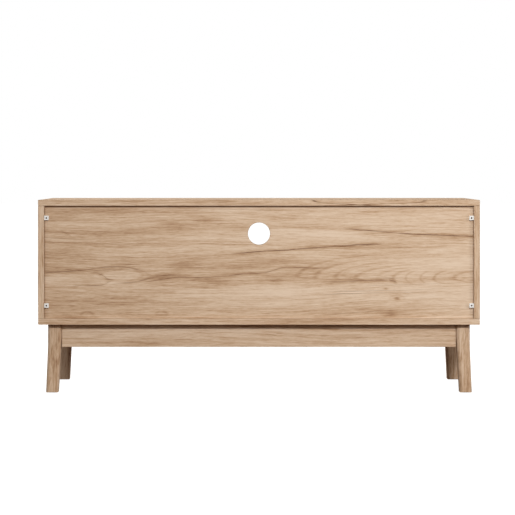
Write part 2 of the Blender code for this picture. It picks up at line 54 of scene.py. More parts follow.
# --- Node helpers -----------------------------------------------------------------------------------------
class Tree:
    """Short calls that build a shader node tree. A value may be a number, a tuple or a node's socket."""

    def __init__(self, node_tree):
        self.tree = node_tree

    def add(self, kind, **settings):
        node = self.tree.nodes.new(kind)
        for key, value in settings.items():
            setattr(node, key, value)
        return node

    def put(self, value, socket):
        if isinstance(value, bpy.types.NodeSocket):
            self.tree.links.new(value, socket)
        else:
            socket.default_value = value

    def math(self, operation, first, second=0.0, third=0.0, clamp=False):
        node = self.add("ShaderNodeMath", operation=operation, use_clamp=clamp)
        for socket, value in zip(node.inputs, (first, second, third)):
            self.put(value, socket)
        return node.outputs[0]

    def vector(self, x, y, z):
        node = self.add("ShaderNodeCombineXYZ")
        for socket, value in zip(node.inputs, (x, y, z)):
            self.put(value, socket)
        return node.outputs[0]

    def noise(self, vector, detail=2.0, roughness=0.5):
        """Noise at scale 1, from 0 to 1 and centred near 0.5. The vector carries the real scale."""
        node = self.add("ShaderNodeTexNoise", noise_dimensions="3D")
        node.inputs["Scale"].default_value = 1.0
        node.inputs["Detail"].default_value = detail
        node.inputs["Roughness"].default_value = roughness
        self.put(vector, node.inputs["Vector"])
        return node.outputs["Fac"]

    def step(self, value, low, high, to_low=0.0, to_high=1.0):
        """Smooth step from to_low to to_high as value goes from low to high."""
        node = self.add("ShaderNodeMapRange", interpolation_type="SMOOTHSTEP")
        for socket, number in zip(node.inputs, (value, low, high, to_low, to_high)):
            self.put(number, socket)
        return node.outputs[0]

    def remap(self, value, low, high, to_low=0.0, to_high=1.0):
        node = self.add("ShaderNodeMapRange", clamp=True)
        for socket, number in zip(node.inputs, (value, low, high, to_low, to_high)):
            self.put(number, socket)
        return node.outputs[0]

    def mix(self, factor, first, second, blend="MIX"):
        node = self.add("ShaderNodeMix", data_type="RGBA", blend_type=blend)
        self.put(factor, node.inputs[0])
        self.put(first, node.inputs[6])
        self.put(second, node.inputs[7])
        return node.outputs[2]

    def bell(self, value, centre, width):
        """exp(-((value - centre) / width)^2)"""
        offset = self.math("DIVIDE", self.math("SUBTRACT", value, centre), width)
        return self.math("EXPONENT", self.math("MULTIPLY", self.math("MULTIPLY", offset, offset), -1.0))

    def total(self, *values):
        result = values[0]
        for value in values[1:]:
            result = self.math("ADD", result, value)
        return result

    def product(self, *values):
        result = values[0]
        for value in values[1:]:
            result = self.math("MULTIPLY", result, value)
        return result


def grey(level):
    return (level, level, level, 1.0)


# --- Oak --------------------------------------------------------------------------------------------------
OAK_SHADES = [
    (0.00, (0.740, 0.590, 0.450, 1.0)),
    (0.35, (0.620, 0.455, 0.315, 1.0)),
    (0.65, (0.480, 0.315, 0.195, 1.0)),
    (1.00, (0.290, 0.162, 0.088, 1.0)),
]
# The colour of the cracks, and of the painted groove shadow on the back panel, which comes in through the
# Crack input.
OAK_CRACK_AND_SHADOW = (0.112, 0.046, 0.022, 1.0)
RAW_HARDBOARD = (0.190, 0.105, 0.055, 1.0)


def new_group(name, inputs, outputs):
    """A node group with its sockets, its tree and its input node."""
    group = bpy.data.node_groups.new(name, "ShaderNodeTree")
    for in_out, sockets in (("INPUT", inputs), ("OUTPUT", outputs)):
        for socket_name, kind in sockets.items():
            group.interface.new_socket(socket_name, in_out=in_out, socket_type=f"NodeSocket{kind}")
    t = Tree(group)
    return group, t, t.add("NodeGroupInput")


def oak_group():
    """The oak itself. Grain is (along, across, depth) in metres."""
    group, t, source = new_group(
        "oak", {"Grain": "Vector", "Tone": "Float", "Crack": "Float", "Smudge": "Float", "Vein": "Float"},
        {"Color": "Color", "Height": "Float", "Roughness": "Float"})
    split = t.add("ShaderNodeSeparateXYZ")
    t.put(source.outputs["Grain"], split.inputs[0])
    along, across, depth = split.outputs

    def at(level, per_along, per_across, shift=0.0):
        """A point in noise space: so many cycles per metre along the grain and across it."""
        return t.vector(t.math("MULTIPLY_ADD", along, per_along, shift),
                        t.math("MULTIPLY_ADD", level, per_across, shift),
                        t.math("MULTIPLY", depth, per_across))

    def swing(value, amount):
        return t.remap(value, 0.25, 0.75, -amount, amount)

    sway = t.noise(at(across, 1.1, 3.5, 3.7), 1.0)
    ripple = t.noise(at(across, 7.0, 30.0, 9.1), 2.0)
    level = t.total(across, t.math("MULTIPLY_ADD", sway, 0.070, -0.035),
                    t.math("MULTIPLY_ADD", ripple, 0.0050, -0.0025))

    broad = t.noise(at(level, 2.2, 13.0, 1.3), 3.0, 0.6)
    bands = t.noise(at(level, 1.6, 40.0, 5.9), 3.0, 0.6)
    streaks = t.noise(at(level, 9.0, 260.0, 2.2), 4.0, 0.7)
    fibres = t.noise(at(across, 45.0, 700.0, 7.7), 3.0, 0.7)
    dashes = t.step(t.noise(at(level, 20.0, 330.0, 3.3), 2.0, 0.6), 0.56, 0.70)

    rings = t.noise(at(level, 0.8, 42.0, 8.3), 1.0)
    ring_distance = t.math("ABSOLUTE", t.math("SUBTRACT", rings, 0.5))
    ring_presence = t.step(t.noise(at(level, 2.6, 20.0, 4.4), 1.0), 0.47, 0.60)
    ring = t.math("MULTIPLY", t.step(ring_distance, 0.0, 0.030, 1.0, 0.0), ring_presence)
    split_presence = t.step(t.noise(at(level, 2.1, 13.0, 6.6), 1.0), 0.62, 0.70)
    crack = t.math("MULTIPLY", t.step(ring_distance, 0.0, 0.012, 1.0, 0.0), split_presence)
    # The Crack input also brings painted shadow: the back panel's groove lines.
    crack = t.math("MAXIMUM", t.math("MULTIPLY", crack, 0.85), source.outputs["Crack"])

    pore = t.step(t.noise(at(across, 75.0, 2600.0, 6.1), 1.0), 0.63, 0.74)
    # Tone also brings painted light and shade on the back panel, the rear apron, the legs, the top panel and
    # the right side panel.
    shade = t.total(0.33, swing(broad, 0.20), swing(bands, 0.24), swing(streaks, 0.34), swing(fibres, 0.26),
                    t.math("MULTIPLY", dashes, 0.20), t.math("MULTIPLY", pore, 0.10),
                    t.math("MULTIPLY", ring, 0.24), t.math("MULTIPLY", source.outputs["Vein"], 0.46),
                    t.math("MULTIPLY", source.outputs["Smudge"], 0.46), source.outputs["Tone"])
    ramp = t.add("ShaderNodeValToRGB")
    elements = ramp.color_ramp.elements
    for place, shade_colour in OAK_SHADES[1:-1]:
        elements.new(place).color = shade_colour
    elements[0].color = OAK_SHADES[0][1]
    elements[-1].color = OAK_SHADES[-1][1]
    t.put(shade, ramp.inputs[0])
    colour = t.mix(t.math("MULTIPLY", crack, 0.85, clamp=True), ramp.outputs[0], OAK_CRACK_AND_SHADOW)

    height = t.total(t.math("MULTIPLY", streaks, 0.6), t.math("MULTIPLY", pore, -0.5),
                     t.math("MULTIPLY", crack, -1.2), t.math("MULTIPLY", fibres, 0.4))
    roughness = t.total(0.50, t.math("MULTIPLY", bands, 0.10), t.math("MULTIPLY", pore, 0.12))
    result = t.add("NodeGroupOutput")
    t.put(colour, result.inputs["Color"])
    t.put(height, result.inputs["Height"])
    t.put(roughness, result.inputs["Roughness"])
    return group


OAK = oak_group()
# Row axes that run along, across and through the grain.
LENGTHWISE = ("X", "Z", "Y")
LENGTHWISE_FLAT = ("X", "Y", "Z")
FRONT_TO_BACK = ("Y", "X", "Z")
UPRIGHT = ("Z", "Y", "X")


def new_material(name):
    material = bpy.data.materials.new(name)
    material.use_nodes = True
    tree = Tree(material.node_tree)
    shader = material.node_tree.nodes["Principled BSDF"]
    return material, tree, shader


def object_position(t):
    coordinates = t.add("ShaderNodeTexCoord")
    split = t.add("ShaderNodeSeparateXYZ")
    t.put(coordinates.outputs["Object"], split.inputs[0])
    return dict(zip("XYZ", split.outputs))


def edge_wear(t, position, low, high):
    """1 on a board's edges, fading to 0 within about 2 mm. The second nearest face is the one next door."""
    distances = []
    for axis, near, far in zip("XYZ", low, high):
        distances.append(t.math("MINIMUM", t.math("SUBTRACT", position[axis], near),
                                t.math("SUBTRACT", far, position[axis])))
    a, b, c = distances
    second = t.math("MAXIMUM", t.math("MINIMUM", a, b),
                    t.math("MINIMUM", t.math("MAXIMUM", a, b), c))
    return t.step(second, 0.0002, 0.0020, 1.0, 0.0)


def oak_material(name, axes, offset, box=None, tone=0.0, figure=None, cut=None):
    """Oak for one board. axes names the row axes that run along, across and through the grain."""
    material, t, shader = new_material(name)
    position = object_position(t)
    grain = t.vector(*[t.math("ADD", position[axis], shift) for axis, shift in zip(axes, offset)])
    oak = t.add("ShaderNodeGroup", node_tree=OAK)
    t.put(grain, oak.inputs["Grain"])
    # tone also paints light and shade: on the legs, the top panel and the right side panel.
    oak.inputs["Tone"].default_value = tone
    # A figure may also paint light and shade, as on the back panel and the rear apron.
    if figure:
        for socket, value in figure(t, position).items():
            t.put(value, oak.inputs[socket])
    colour = oak.outputs["Color"]
    roughness = oak.outputs["Roughness"]
    if box is not None:
        wear = edge_wear(t, position, *box)
        colour = t.mix(t.math("MULTIPLY", wear, 0.20), colour, OAK_SHADES[-1][1])
        roughness = t.math("MULTIPLY_ADD", wear, 0.10, roughness)
    if cut:
        raw = cut(t, position)
        colour = t.mix(raw, colour, RAW_HARDBOARD)
        roughness = t.math("MULTIPLY_ADD", raw, 0.30, roughness)
    t.put(colour, shader.inputs["Base Color"])
    t.put(roughness, shader.inputs["Roughness"])
    bump = t.add("ShaderNodeBump")
    bump.inputs["Strength"].default_value = 0.35
    bump.inputs["Distance"].default_value = 0.0002
    t.put(oak.outputs["Height"], bump.inputs["Height"])
    t.put(bump.outputs["Normal"], shader.inputs["Normal"])
    shader.inputs["Specular IOR Level"].default_value = 0.22
    return material


# The back panel's figure, in metres: x is the row's X and z its height.
EYE = {"x": 0.374, "z": 0.3200, "half_length": 0.085, "half_height": 0.0205}
# Growth rings that open toward -X, as half ovals.
# Each is (x of the tip, z of the tip, length, rise of the upper arm, drop of the lower arm, strength).
ARCS = [
    (-0.105, 0.3150, 0.300, 0.0640, 0.0060, 0.50),
    (-0.152, 0.3130, 0.260, 0.0560, 0.0080, 0.55),
    (-0.207, 0.3120, 0.230, 0.0490, 0.0100, 0.65),
    (-0.228, 0.3180, 0.210, 0.0370, 0.0040, 0.45),
    (-0.262, 0.3105, 0.180, 0.0380, 0.0080, 0.65),
    (-0.321, 0.3115, 0.115, 0.0300, 0.0080, 0.45),
    (-0.364, 0.3115, 0.080, 0.0255, 0.0120, 0.60),
    (-0.399, 0.3130, 0.038, 0.0200, 0.0180, 0.50),
    (-0.439, 0.3125, 0.030, 0.0190, 0.0150, 0.42),
    (-0.475, 0.3110, 0.056, 0.0235, 0.0150, 0.60),
    (-0.530, 0.3100, 0.085, 0.0240, 0.0090, 0.55),
]
CRACKS = [
    # (points along the crack, half width, darkness)
    ([(0.630, 0.325), (0.490, 0.333), (0.440, 0.3395), (0.389, 0.3436), (0.335, 0.336), (0.290, 0.3175)],
     0.0022, 0.62),
    ([(0.480, 0.3290), (0.440, 0.3335), (0.400, 0.3365), (0.355, 0.3350), (0.315, 0.3260)], 0.0016, 0.40),
    ([(0.520, 0.290), (0.487, 0.292), (0.452, 0.2915), (0.4245, 0.294), (0.4087, 0.302), (0.390, 0.3076)],
     0.0020, 0.62),
    ([(0.4650, 0.3305), (0.436, 0.325), (0.4204, 0.3174), (0.4088, 0.3095), (0.388, 0.3065)], 0.0018, 0.58),
    ([(0.412, 0.2955), (0.366, 0.299), (0.335, 0.302), (0.3115, 0.3077), (0.284, 0.3147), (0.255, 0.3200),
      (0.195, 0.3215)], 0.0020, 0.58),
    ([(0.3270, 0.299), (0.2726, 0.3076), (0.218, 0.3155), (0.160, 0.3136), (0.1016, 0.3174), (0.0433, 0.3231),
      (-0.008, 0.3272), (-0.031, 0.331), (-0.070, 0.3408), (-0.109, 0.3408), (-0.147, 0.3387),
      (-0.1925, 0.3427)], 0.0018, 0.66),
    ([(0.090, 0.3770), (0.008, 0.3836), (-0.050, 0.3874), (-0.109, 0.3912), (-0.167, 0.3953),
      (-0.225, 0.4002), (-0.2835, 0.4029), (-0.350, 0.4056)], 0.0022, 0.95),
    ([(-0.220, 0.4485), (-0.299, 0.4418), (-0.342, 0.438), (-0.400, 0.4339), (-0.4586, 0.4301),
      (-0.517, 0.4282), (-0.640, 0.4250)], 0.0022, 0.95),
    ([(-0.160, 0.3019), (-0.237, 0.3027), (-0.295, 0.3057), (-0.378, 0.3068)], 0.0019, 0.75),
    ([(0.545, 0.4415), (0.527, 0.436), (0.508, 0.4250)], 0.0018, 0.50),
    ([(-0.348, 0.3080), (-0.362, 0.3055), (-0.378, 0.2985)], 0.0020, 1.00),
]
# Soft dark patches: (x, z, half length, half height, strength). A negative strength is a pale one.
SMUDGES = [
    (0.471, 0.3035, 0.026, 0.0075, 0.70),
    (0.136, 0.3038, 0.050, 0.0100, 0.90),
    (0.207, 0.3465, 0.030, 0.0110, 0.70),
    (0.250, 0.3080, 0.040, 0.0070, 0.45),
    (0.540, 0.3860, 0.080, 0.0100, 0.80),
    (0.542, 0.4800, 0.060, 0.0120, 0.55),
    (0.540, 0.2620, 0.050, 0.0080, 0.50),
    (0.430, 0.3500, 0.120, 0.0060, 0.40),
    (0.145, 0.4690, 0.026, 0.0050, 0.70),
    (0.240, 0.4540, 0.034, 0.0080, 0.70),
    (-0.044, 0.3076, 0.030, 0.0090, 0.60),
    (-0.060, 0.3600, 0.055, 0.0120, 0.60),
    (-0.130, 0.3300, 0.060, 0.0120, 0.50),
    (-0.375, 0.2569, 0.0090, 0.0042, 2.30),
    (-0.344, 0.2836, 0.0060, 0.0028, 1.60),
    (-0.3575, 0.2142, 0.022, 0.0080, 1.10),
    (-0.310, 0.2230, 0.030, 0.0050, 0.50),
    (-0.206, 0.2746, 0.018, 0.0035, 0.50),
    (-0.035, 0.4480, 0.090, 0.0060, 0.75),
    (-0.200, 0.4480, 0.080, 0.0060, 0.45),
    (0.350, 0.4930, 0.180, 0.0060, 0.40),
    (-0.450, 0.2500, 0.200, 0.0200, -0.45),
    (0.150, 0.2600, 0.200, 0.0160, -0.40),
    (-0.420, 0.4700, 0.150, 0.0200, -0.30),
]
# Small curls, as thin ovals: (x, z, half length, half height).
CURLS = [(0.467, 0.2125, 0.016, 0.0080), (0.265, 0.2145, 0.015, 0.0080), (-0.3750, 0.2570, 0.019, 0.0085)]
# The painted shadow where the panel enters its grooves at the top and the sides, and a dark line at the
# bottom, as the two ends of its soft edge.
TOP_GROOVE_SHADE = (0.5030, 0.5055)
SIDE_GROOVE_SHADE = (0.5800, 0.5822)
BOTTOM_GROOVE_SHADE = (0.2030, 0.2055)
PIN_PITCH = 0.032
PIN_HOLE_RADIUS = 0.0030      # just outside the drilled bore
PIN_HOLE_DEPTH = 0.010
PIN_ROWS = 1                  # holes above and below the pin in use, as they are cut in the CAD
PANEL_X = (-0.70, 0.70)
PANEL_Z = (0.20, 0.52)
CABLE_HOLE_RADIUS = 0.030
CABLE_HOLE_DROP = 0.0915      # centre, below the top of the cabinet


def curve_height(t, x, points):
    """Height of a hand-drawn curve at x, in metres."""
    span_x, span_z = PANEL_X[1] - PANEL_X[0], PANEL_Z[1] - PANEL_Z[0]
    node = t.add("ShaderNodeFloatCurve")
    curve = node.mapping.curves[0]
    places = sorted(((x0 - PANEL_X[0]) / span_x, (z0 - PANEL_Z[0]) / span_z) for x0, z0 in points)
    while len(curve.points) < len(places):
        curve.points.new(0.5, 0.5)
    for point, place in zip(curve.points, places):
        point.location = place
        point.handle_type = "AUTO"
    node.mapping.update()
    node.inputs["Factor"].default_value = 1.0
    t.put(t.remap(x, *PANEL_X), node.inputs["Value"])
    return t.math("MULTIPLY_ADD", node.outputs[0], span_z, PANEL_Z[0])


def oval(t, x, height, centre_x, centre_z, half_length, half_height):
    """0 at an oval's centre and 1 on its rim."""
    across = t.math("DIVIDE", t.math("SUBTRACT", x, centre_x), half_length)
    up = t.math("DIVIDE", t.math("SUBTRACT", height, centre_z), half_height)
    return t.math("SQRT", t.math("ADD", t.math("MULTIPLY", across, across), t.math("MULTIPLY", up, up)))


def open_arcs(t, x, height):
    """The growth rings in ARCS: the tip side of an oval's rim, fading out along both arms."""
    rings = 0.0
    for tip_x, tip_z, length, rise, drop, strength in ARCS:
        lift = t.math("SUBTRACT", height, tip_z)
        arm = t.math("MULTIPLY_ADD", t.math("GREATER_THAN", lift, 0.0), rise - drop, drop)
        centre_x = tip_x - length
        rim = oval(t, x, height, centre_x, tip_z, length, arm)
        soft_line = t.math("MULTIPLY", t.bell(rim, 1.07, 0.09), 0.35)
        line = t.math("MAXIMUM", t.bell(rim, 1.0, 0.0021 / rise), soft_line)
        side = t.step(x, centre_x - 0.2 * length, centre_x + 0.7 * length, 0.0, strength)
        rings = t.math("MAXIMUM", rings, t.math("MULTIPLY", line, side))
    return rings


def print_group():
    """The oak print with its listed figure, from the point (X, Z) of the back panel, in metres."""
    group, t, source = new_group("oak_print", {"X": "Float", "Z": "Float"},
                                 {"Crack": "Float", "Smudge": "Float", "Vein": "Float"})
    x, z = source.outputs["X"], source.outputs["Z"]
    wobble_at = t.vector(t.math("MULTIPLY", x, 14.0), t.math("MULTIPLY", z, 14.0), 0.0)
    wobble = t.math("MULTIPLY_ADD", t.noise(wobble_at, 3.0), 0.005, -0.0025)
    height = t.math("ADD", z, wobble)

    eye = oval(t, x, height, EYE["x"], EYE["z"], EYE["half_length"], EYE["half_height"])
    pale_eye = t.step(eye, 0.50, 1.0, 0.45, 0.0)
    vein = t.math("MAXIMUM", open_arcs(t, x, height), t.math("MULTIPLY", t.bell(eye, 0.68, 0.07), 0.35))
    for curl in CURLS:
        rim = t.bell(oval(t, x, height, *curl), 1.0, 0.30)
        open_side = t.step(height, curl[1] - curl[3], curl[1] + curl[3], 0.05, 0.55)
        vein = t.math("MAXIMUM", vein, t.math("MULTIPLY", rim, open_side))

    presence_at = t.vector(t.math("MULTIPLY", x, 26.0), t.math("MULTIPLY", z, 150.0), 4.0)
    presence = t.remap(t.noise(presence_at, 2.0), 0.35, 0.60, 0.35, 1.0)
    crack = 0.0
    halo = 0.0
    for points, half_width, darkness in CRACKS:
        start, end = min(points)[0], max(points)[0]
        fade = min(0.05, (end - start) / 3)
        window = t.math("MULTIPLY", t.step(x, start, start + fade), t.step(x, end - fade, end, 1.0, 0.0))
        distance = t.math("ABSOLUTE", t.math("SUBTRACT", height, curve_height(t, x, points)))
        line = t.product(t.step(distance, 0.0, half_width, darkness, 0.0), window, presence)
        crack = t.math("MAXIMUM", crack, line)
        soft = t.product(t.step(distance, 0.0, half_width * 4.5, darkness * 0.75, 0.0), window)
        halo = t.math("MAXIMUM", halo, soft)

    smudge = t.math("SUBTRACT", halo, pale_eye)
    for centre_x, centre_z, half_length, half_height, strength in SMUDGES:
        patch = t.product(t.bell(x, centre_x, half_length), t.bell(height, centre_z, half_height),
                          strength * 0.7)
        smudge = t.math("ADD", smudge, patch)
    result = t.add("NodeGroupOutput")
    for name, value in (("Crack", crack), ("Smudge", smudge), ("Vein", vein)):
        t.put(value, result.inputs[name])
    return group


OAK_PRINT = print_group()


def printed(x_axis, x_sign, x_shift, z_axis, z_sign, z_shift):
    """The oak print laid on another board: which row axes run along and across it, flipped and shifted."""

    def figure(t, position):
        group = t.add("ShaderNodeGroup", node_tree=OAK_PRINT)
        t.put(t.math("MULTIPLY_ADD", position[x_axis], x_sign, x_shift), group.inputs["X"])
        t.put(t.math("MULTIPLY_ADD", position[z_axis], z_sign, z_shift), group.inputs["Z"])
        return {name: group.outputs[name] for name in ("Crack", "Smudge", "Vein")}

    return figure


def panel_figure(t, position):
    """The print as it lies on the back panel, with painted light: paler toward -X and darker toward +X, with
    a painted shadow where it enters its grooves at the top and sides and a dark line at the bottom.
    """
    figure = printed("X", 1, 0, "Z", 1, 0)(t, position)
    # Painted shadow under the top and beside the sides, and a dark line along the bottom.
    groove_shadow_and_line = t.math("MAXIMUM", t.step(position["Z"], *TOP_GROOVE_SHADE, 0.0, 0.88),
                         t.step(t.math("ABSOLUTE", position["X"]), *SIDE_GROOVE_SHADE, 0.0, 0.62))
    groove_shadow_and_line = t.math("MAXIMUM", groove_shadow_and_line, t.step(position["Z"], *BOTTOM_GROOVE_SHADE, 0.32, 0.0))
    figure["Crack"] = t.math("MAXIMUM", figure["Crack"], groove_shadow_and_line)
    # Painted light: paler toward -X and darker toward +X.
    figure["Tone"] = t.remap(position["X"], -0.6, 0.6, -0.11, 0.09)
    return figure


def cable_hole_cut(t, position):
    """1 on the raw edge around the cable hole, which is centred under the top."""
    up = t.math("SUBTRACT", position["Z"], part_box("top_panel")[1].z - CABLE_HOLE_DROP)
    radius = t.math("SQRT", t.math("ADD", t.math("MULTIPLY", position["X"], position["X"]),
                                   t.math("MULTIPLY", up, up)))
    return t.step(radius, CABLE_HOLE_RADIUS + 0.0004, CABLE_HOLE_RADIUS + 0.0007, 1.0, 0.0)


def shelf_pin_holes(board_name):
    """1 on the raw walls of the drilled holes that a bay's shelf pins can move to."""
    low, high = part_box(board_name)
    bay_face = min(abs(low.x), abs(high.x)) if "side" in board_name else max(abs(low.x), abs(high.x))

    def mask(t, position):
        holes = 0.0
        for end in ("front", "back"):
            pin_low, pin_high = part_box(f"shelf_pin_left_outer_{end}")
            pin = (pin_low + pin_high) / 2
            rows = t.math("DIVIDE", t.math("SUBTRACT", position["Z"], pin.z), PIN_PITCH)
            up = t.math("MULTIPLY", t.math("SUBTRACT", rows, t.math("ROUND", rows)), PIN_PITCH)
            back = t.math("SUBTRACT", position["Y"], pin.y)
            radius = t.math("SQRT", t.math("ADD", t.math("MULTIPLY", back, back), t.math("MULTIPLY", up, up)))
            hole = t.step(radius, PIN_HOLE_RADIUS - 0.0002, PIN_HOLE_RADIUS + 0.0001, 1.0, 0.0)
            holes = t.math("MAXIMUM", holes, t.math("MULTIPLY", hole, t.math(
                "LESS_THAN", t.math("ABSOLUTE", rows), PIN_ROWS + 0.4)))
        from_face = t.math("ABSOLUTE", t.math("SUBTRACT", t.math("ABSOLUTE", position["X"]), bay_face))
        return t.math("MULTIPLY", holes, t.math("LESS_THAN", from_face, PIN_HOLE_DEPTH))

    return mask


def apron_figure(t, position):
    """Paler toward +X, to make up for the weaker light on that end of the rear apron."""
    return {"Tone": t.remap(position["X"], -0.55, 0.55, 0.12, -0.07)}


def leg_figure(t, position):
    """Short dark flecks that lean across a leg, as in the printed wrap."""
    lean = t.math("ADD", position["X"], t.math("MULTIPLY", position["Z"], 0.16))
    lean = t.math("ADD", lean, position["Y"])
    at = t.vector(t.math("MULTIPLY", lean, 95.0), t.math("MULTIPLY", position["Z"], 17.0),
                  t.math("MULTIPLY", position["Y"], 30.0))
    fleck = t.step(t.noise(at, 3.0, 0.6), 0.50, 0.68)
    return {"Smudge": t.math("MULTIPLY", fleck, 0.55), "Crack": t.math("MULTIPLY", fleck, 0.08)}


# Painted light and shade: tone added to each leg, set so that its brightness in the render fits the photo's.
# Below 0 is paler.
LEG_PAINTED_LIGHT = {
    "leg_front_left": -0.06,
    "leg_front_right": -0.05,
    "leg_back_left": 0.06,
    "leg_back_right": -0.03,
}


def dress_oak():
    """Each oak node gets its own board: level grain on long boards, upright grain on sides and legs."""
    boards = {
        "top_panel": (LENGTHWISE_FLAT, (0.31, 0.12, 0.05)),
        "bottom_panel": (LENGTHWISE_FLAT, (2.17, 0.48, 0.21)),
        "side_panel_left": (UPRIGHT, (4.03, 0.77, 0.35)),
        "side_panel_right": (UPRIGHT, (5.41, 0.26, 0.63)),
        "divider_left": (UPRIGHT, (6.12, 0.93, 0.17)),
        "divider_right": (UPRIGHT, (7.73, 0.38, 0.44)),
        "niche_shelf": (LENGTHWISE_FLAT, (8.21, 0.59, 0.72)),
        "shelf_left": (LENGTHWISE_FLAT, (9.34, 0.14, 0.91)),
        "shelf_right": (LENGTHWISE_FLAT, (10.52, 0.83, 0.29)),
        "door_left": (LENGTHWISE, (12.10, 0.40, 0.30)),
        "door_right": (LENGTHWISE, (12.10, 0.40, 0.30)),
        "drawer_front": (LENGTHWISE, (12.10, 0.40, 0.30)),
        "apron_front": (LENGTHWISE, (14.42, 0.67, 0.11)),
        "apron_back": (LENGTHWISE, (15.81, 0.22, 0.58)),
        "apron_left": (FRONT_TO_BACK, (17.23, 0.35, 0.46)),
        "apron_right": (FRONT_TO_BACK, (18.64, 0.74, 0.85)),
    }
    front_print = printed("X", -1, 0.05, "Z", -1, 0.715)
    prints_and_light = {
        "door_left": front_print,
        "drawer_front": front_print,
        "door_right": front_print,
        "top_panel": printed("X", -1, -0.03, "Y", 1, 0.345),
        "bottom_panel": printed("X", 1, 0.10, "Y", -1, 0.360),
        "side_panel_left": printed("Z", 1, -0.70, "Y", 1, 0.370),
        "side_panel_right": printed("Z", -1, 0.62, "Y", 1, 0.330),
    }
    # The rear apron gets painted light instead of a print: paler toward +X.
    prints_and_light["apron_back"] = apron_figure
    for name, (axes, offset) in boards.items():
        # Painted shade: the top panel and the right side panel are made darker than the other boards.
        tone = {"top_panel": 0.08, "side_panel_right": 0.08}.get(name, 0.0)
        drilled = shelf_pin_holes(name) if axes == UPRIGHT else None
        set_material(name, oak_material(f"oak_{name}", axes, offset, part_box(name), tone, prints_and_light.get(name),
                                        drilled))
    for count, name in enumerate(n for n in nodes if n.startswith("leg_")):
        set_material(name, oak_material(f"oak_{name}", UPRIGHT, (20.0 + 1.3 * count, 0.4, 0.6),
                                        tone=LEG_PAINTED_LIGHT[name], figure=leg_figure))
    for count, name in enumerate(n for n in nodes if n.startswith("knob_")):
        set_material(name, oak_material(f"oak_{name}", UPRIGHT, (27.0 + 1.3 * count, 0.4, 0.6), tone=0.12))
    set_material("back_panel", oak_material("oak_back_panel", LENGTHWISE, (30.2, 0.33, 0.27),
                                            figure=panel_figure, cut=cable_hole_cut))


def set_material(node, material):
    obj = nodes[node]
    obj.data.materials.clear()
    obj.data.materials.append(material)


# --- Plastic, steel and plain boards ----------------------------------------------------------------------
def grained_material(name, colour, dark, scale, roughness, metallic=0.0, bump=0.00004):
    """A surface with fine mottling in its colour, roughness and height. scale is in cycles per metre."""
    material, t, shader = new_material(name)
    position = object_position(t)
    point = t.vector(*[t.math("MULTIPLY", position[axis], scale) for axis in "XYZ"])
    fine = t.noise(point, 3.0, 0.6)
    coarse_point = t.vector(*[t.math("MULTIPLY", position[axis], scale * 0.08) for axis in "XYZ"])
    coarse = t.noise(coarse_point, 2.0)
    amount = t.math("ADD", t.remap(fine, 0.3, 0.7, 0.0, 0.5), t.remap(coarse, 0.3, 0.7, 0.0, 0.5))
    t.put(t.mix(amount, colour, dark), shader.inputs["Base Color"])
    t.put(t.remap(fine, 0.3, 0.7, roughness - 0.06, roughness + 0.08), shader.inputs["Roughness"])
    shader.inputs["Metallic"].default_value = metallic
    ripple = t.add("ShaderNodeBump")
    ripple.inputs["Strength"].default_value = 0.3
    ripple.inputs["Distance"].default_value = bump
    t.put(fine, ripple.inputs["Height"])
    t.put(ripple.outputs["Normal"], shader.inputs["Normal"])
    return material


WHITE = grained_material("white_plastic", (0.90, 0.90, 0.88, 1), (0.83, 0.83, 0.81, 1), 1800.0, 0.38)
NICKEL = grained_material("nickel_plate", (0.80, 0.78, 0.74, 1), (0.74, 0.72, 0.68, 1), 2600.0, 0.34, 0.55,
                          0.000004)
ZINC = grained_material("zinc_plate", (0.70, 0.72, 0.74, 1), (0.62, 0.64, 0.67, 1), 1900.0, 0.38, 0.60,
                        0.000005)
CAST = grained_material("cast_zinc", (0.55, 0.55, 0.54, 1), (0.47, 0.47, 0.46, 1), 2200.0, 0.46, 0.60,
                        0.000008)
BRONZE = grained_material("bronzed_steel", (0.055, 0.020, 0.009, 1), (0.036, 0.014, 0.007, 1), 1500.0, 0.70)
MELAMINE = grained_material("melamine_board", (0.78, 0.76, 0.71, 1), (0.72, 0.69, 0.64, 1), 900.0, 0.52)
RUBBER = grained_material("clear_bumper", (0.60, 0.60, 0.58, 1), (0.52, 0.52, 0.50, 1), 1300.0, 0.30)


def dress_fittings():
    beech = oak_material("raw_beech", UPRIGHT, (40.0, 0.2, 0.1), tone=-0.05)
    for name in nodes:
        if name.startswith("back_clip"):
            set_material(name, WHITE)
        elif name.startswith("hinge"):
            set_material(name, NICKEL)
        elif name.startswith(("slide", "shelf_pin")):
            set_material(name, ZINC)
        elif name in ("drawer_side_left", "drawer_side_right", "drawer_back", "drawer_bottom"):
            set_material(name, MELAMINE)
        elif name.startswith("corner_block"):
            set_material(name, beech)


# --- Small pieces -----------------------------------------------------------------------------------------
def ring_vertices(bm, radius, height, segments):
    turn = 2 * math.pi / segments
    return [bm.verts.new((radius * math.cos(turn * k), radius * math.sin(turn * k), height))
            for k in range(segments)]


def join_rings(bm, lower, upper):
    for k in range(len(lower)):
        nxt = (k + 1) % len(lower)
        bm.faces.new((lower[k], lower[nxt], upper[nxt], upper[k]))


def turned_shape(profile, segments):
    """A solid turned about Z from (radius, height) points, closed flat at both ends."""
    bm = bmesh.new()
    rings = [ring_vertices(bm, radius, height, segments) for radius, height in profile]
    for lower, upper in zip(rings, rings[1:]):
        join_rings(bm, lower, upper)
    bm.faces.new(list(reversed(rings[0])))
    bm.faces.new(rings[-1])
    return bm


